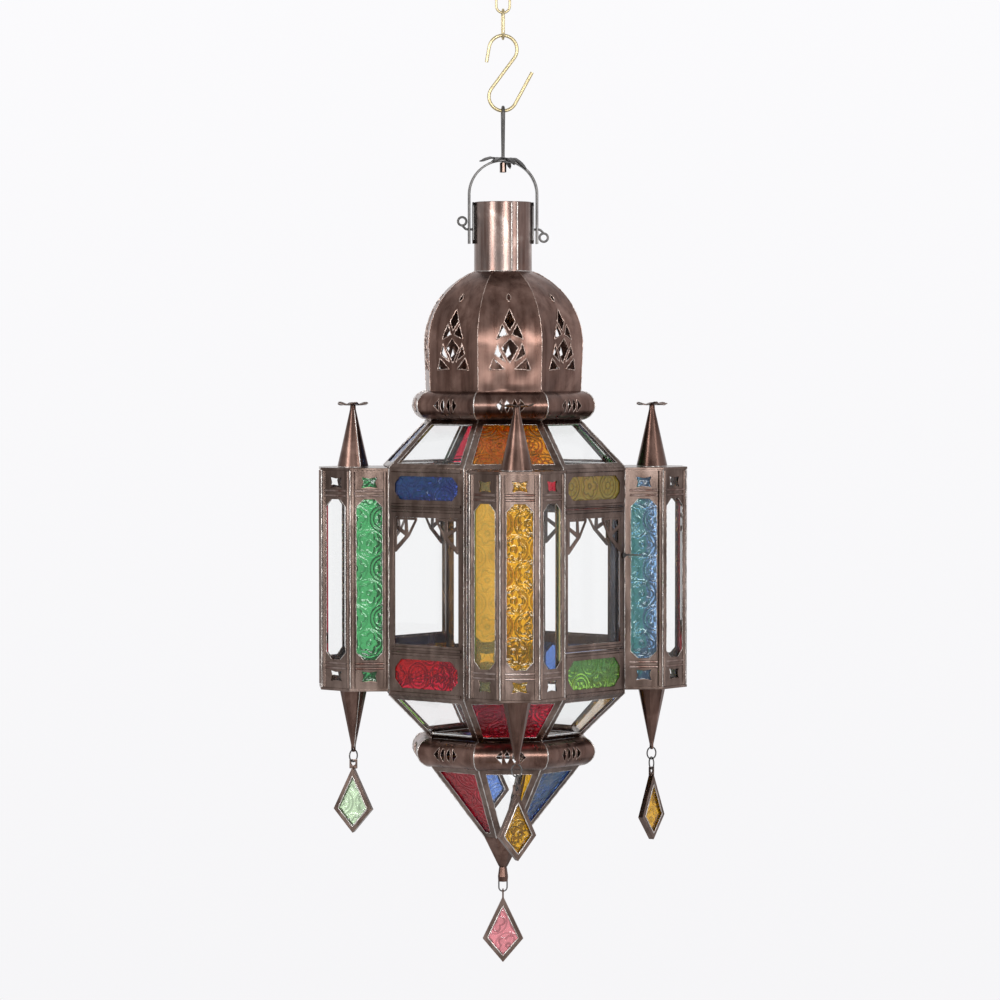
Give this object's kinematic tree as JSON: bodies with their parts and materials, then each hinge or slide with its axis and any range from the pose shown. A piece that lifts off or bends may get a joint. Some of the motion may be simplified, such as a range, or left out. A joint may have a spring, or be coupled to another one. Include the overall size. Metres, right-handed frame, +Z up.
{
  "type": "hanging glass lantern",
  "caption": "Hanging fanous lantern of antique copper and coloured pressed glass, with a pierced dome, glazed turrets, a hinged door and swinging glass drops.",
  "frame": {"origin": "inside the upper chain link, on the wire that bears on the support above it", "axes": "+Z up along the hanging axis, the front turret towards -Y, the door towards +X and -Y"},
  "size_m": [0.2564, 0.2564, 0.6856],
  "materials": {
    "brass": "satin",
    "dark_steel": "satin",
    "antique_copper": "satin",
    "clear_glass": "gloss",
    "amber_glass": "gloss",
    "red_glass": "gloss",
    "blue_glass": "gloss",
    "green_glass": "gloss",
    "pale_green_glass": "gloss"
  },
  "bodies": {
    "chain_link_upper": {"chain_link_upper": "brass"},
    "chain_link_lower": {"chain_link_lower": "brass"},
    "s_hook": {"s_hook": "brass"},
    "hang_loop": {"hang_loop": "dark_steel", "loop_sleeve": "antique_copper"},
    "bail": {"bail_strap": "dark_steel", "bail_rosette": "dark_steel"},
    "lantern": {"amber_panes": "amber_glass", "bail_pins": "dark_steel", "blue_panes": "blue_glass", "bottom_cap": "antique_copper", "candle_bridge": "antique_copper", "candle_cup": "antique_copper", "clear_panes": "clear_glass", "corner_posts": "antique_copper", "dado_frames": "antique_copper", "dome_gores": "antique_copper", "door_fittings": "dark_steel", "finial_collar": "antique_copper", "finial_hoop": "dark_steel", "frieze_frames": "antique_copper", "green_panes": "green_glass", "lower_ring": "antique_copper", "neck_lugs": "dark_steel", "neck_tube": "antique_copper", "pyramid_frames": "antique_copper", "red_panes": "red_glass", "roof_frames": "antique_copper", "slope_frames": "antique_copper", "spire_rosettes": "antique_copper", "turret_caps": "antique_copper", "turret_floors": "antique_copper", "turret_frames": "antique_copper", "turret_pendants": "antique_copper", "turret_spires": "antique_copper", "upper_ring": "antique_copper", "window_frames": "antique_copper", "window_panes": "clear_glass", "window_spandrels": "antique_copper"},
    "door": {"door_frame": "antique_copper", "door_pane": "clear_glass", "door_spandrels": "antique_copper", "door_knuckles": "antique_copper"},
    "door_latch": {"door_latch": "dark_steel"},
    "left_ring": {"left_ring": "dark_steel"},
    "left_drop": {"left_drop_frame": "antique_copper", "left_drop_pane": "pale_green_glass"},
    "front_ring_upper": {"front_ring_upper": "dark_steel"},
    "front_ring_lower": {"front_ring_lower": "dark_steel"},
    "front_drop": {"front_drop_frame": "antique_copper", "front_drop_pane": "amber_glass"},
    "right_ring_upper": {"right_ring_upper": "dark_steel"},
    "right_ring_lower": {"right_ring_lower": "dark_steel"},
    "right_drop": {"right_drop_frame": "antique_copper", "right_drop_pane": "amber_glass"},
    "back_ring": {"back_ring": "dark_steel"},
    "back_drop": {"back_drop_frame": "antique_copper", "back_drop_pane": "blue_glass"},
    "bottom_drop": {"bottom_drop_frame": "antique_copper", "bottom_drop_pane": "red_glass"}
  },
  "joints": [
    {"name": "link_swing", "type": "hinge", "parent": "chain_link_upper", "child": "chain_link_lower", "pos_m": [0, 0, -0.0193], "axis": [1, 0, 0], "range_deg": [-40, 40]},
    {"name": "hook_swing", "type": "hinge", "parent": "chain_link_lower", "child": "s_hook", "pos_m": [0, 0, -0.0374], "axis": [0, 1, 0], "range_deg": [-35, 35]},
    {"name": "loop_swing", "type": "hinge", "parent": "s_hook", "child": "hang_loop", "pos_m": [0, 0, -0.0874], "axis": [1, 0, 0], "range_deg": [-45, 45]},
    {"name": "bail_swivel", "type": "hinge", "parent": "hang_loop", "child": "bail", "pos_m": [0, 0, -0.1213], "axis": [0, 0, 1], "continuous": true},
    {"name": "bail_pivot", "type": "hinge", "parent": "bail", "child": "lantern", "pos_m": [0, 0, -0.17], "axis": [1, 0, 0], "range_deg": [-90, 90]},
    {"name": "door_hinge", "type": "hinge", "parent": "lantern", "child": "door", "pos_m": [0.03527, -0.08281, -0.41175], "axis": [0, 0, -1], "range_deg": [0, 100]},
    {"name": "latch_turn", "type": "hinge", "parent": "door", "child": "door_latch", "pos_m": [0.08036, -0.0356, -0.39618], "axis": [0.7071, -0.7071, 0], "range_deg": [0, 90]},
    {"name": "left_ring_swing", "type": "hinge", "parent": "lantern", "child": "left_ring", "pos_m": [-0.105, 0, -0.5334], "axis": [-0.809, -0.5878, 0], "range_deg": [-25, 25]},
    {"name": "left_drop_swing", "type": "hinge", "parent": "left_ring", "child": "left_drop", "pos_m": [-0.105, 0, -0.5418], "axis": [-0.809, -0.5878, 0], "range_deg": [-25, 25]},
    {"name": "front_ring_upper_swing", "type": "hinge", "parent": "lantern", "child": "front_ring_upper", "pos_m": [0, -0.105, -0.5334], "axis": [0.9962, -0.0872, 0], "range_deg": [-25, 25]},
    {"name": "front_ring_lower_swing", "type": "hinge", "parent": "front_ring_upper", "child": "front_ring_lower", "pos_m": [0, -0.105, -0.5418], "axis": [0.9962, -0.0872, 0], "range_deg": [-25, 25]},
    {"name": "front_drop_swing", "type": "hinge", "parent": "front_ring_lower", "child": "front_drop", "pos_m": [0, -0.105, -0.5489], "axis": [-0.0872, -0.9962, 0], "range_deg": [-25, 25]},
    {"name": "right_ring_upper_swing", "type": "hinge", "parent": "lantern", "child": "right_ring_upper", "pos_m": [0.105, 0, -0.5334], "axis": [0.9397, 0.342, 0], "range_deg": [-25, 25]},
    {"name": "right_ring_lower_swing", "type": "hinge", "parent": "right_ring_upper", "child": "right_ring_lower", "pos_m": [0.105, 0, -0.5418], "axis": [0.9397, 0.342, 0], "range_deg": [-25, 25]},
    {"name": "right_drop_swing", "type": "hinge", "parent": "right_ring_lower", "child": "right_drop", "pos_m": [0.105, 0, -0.5489], "axis": [0.342, -0.9397, 0], "range_deg": [-25, 25]},
    {"name": "back_ring_swing", "type": "hinge", "parent": "lantern", "child": "back_ring", "pos_m": [0, 0.105, -0.5334], "axis": [0.1736, 0.9848, 0], "range_deg": [-25, 25]},
    {"name": "back_drop_swing", "type": "hinge", "parent": "back_ring", "child": "back_drop", "pos_m": [0, 0.105, -0.5418], "axis": [0.1736, 0.9848, 0], "range_deg": [-25, 25]},
    {"name": "bottom_drop_swing", "type": "hinge", "parent": "lantern", "child": "bottom_drop", "pos_m": [0, 0, -0.6341], "axis": [1, 0, 0], "range_deg": [-25, 25]}
  ]
}
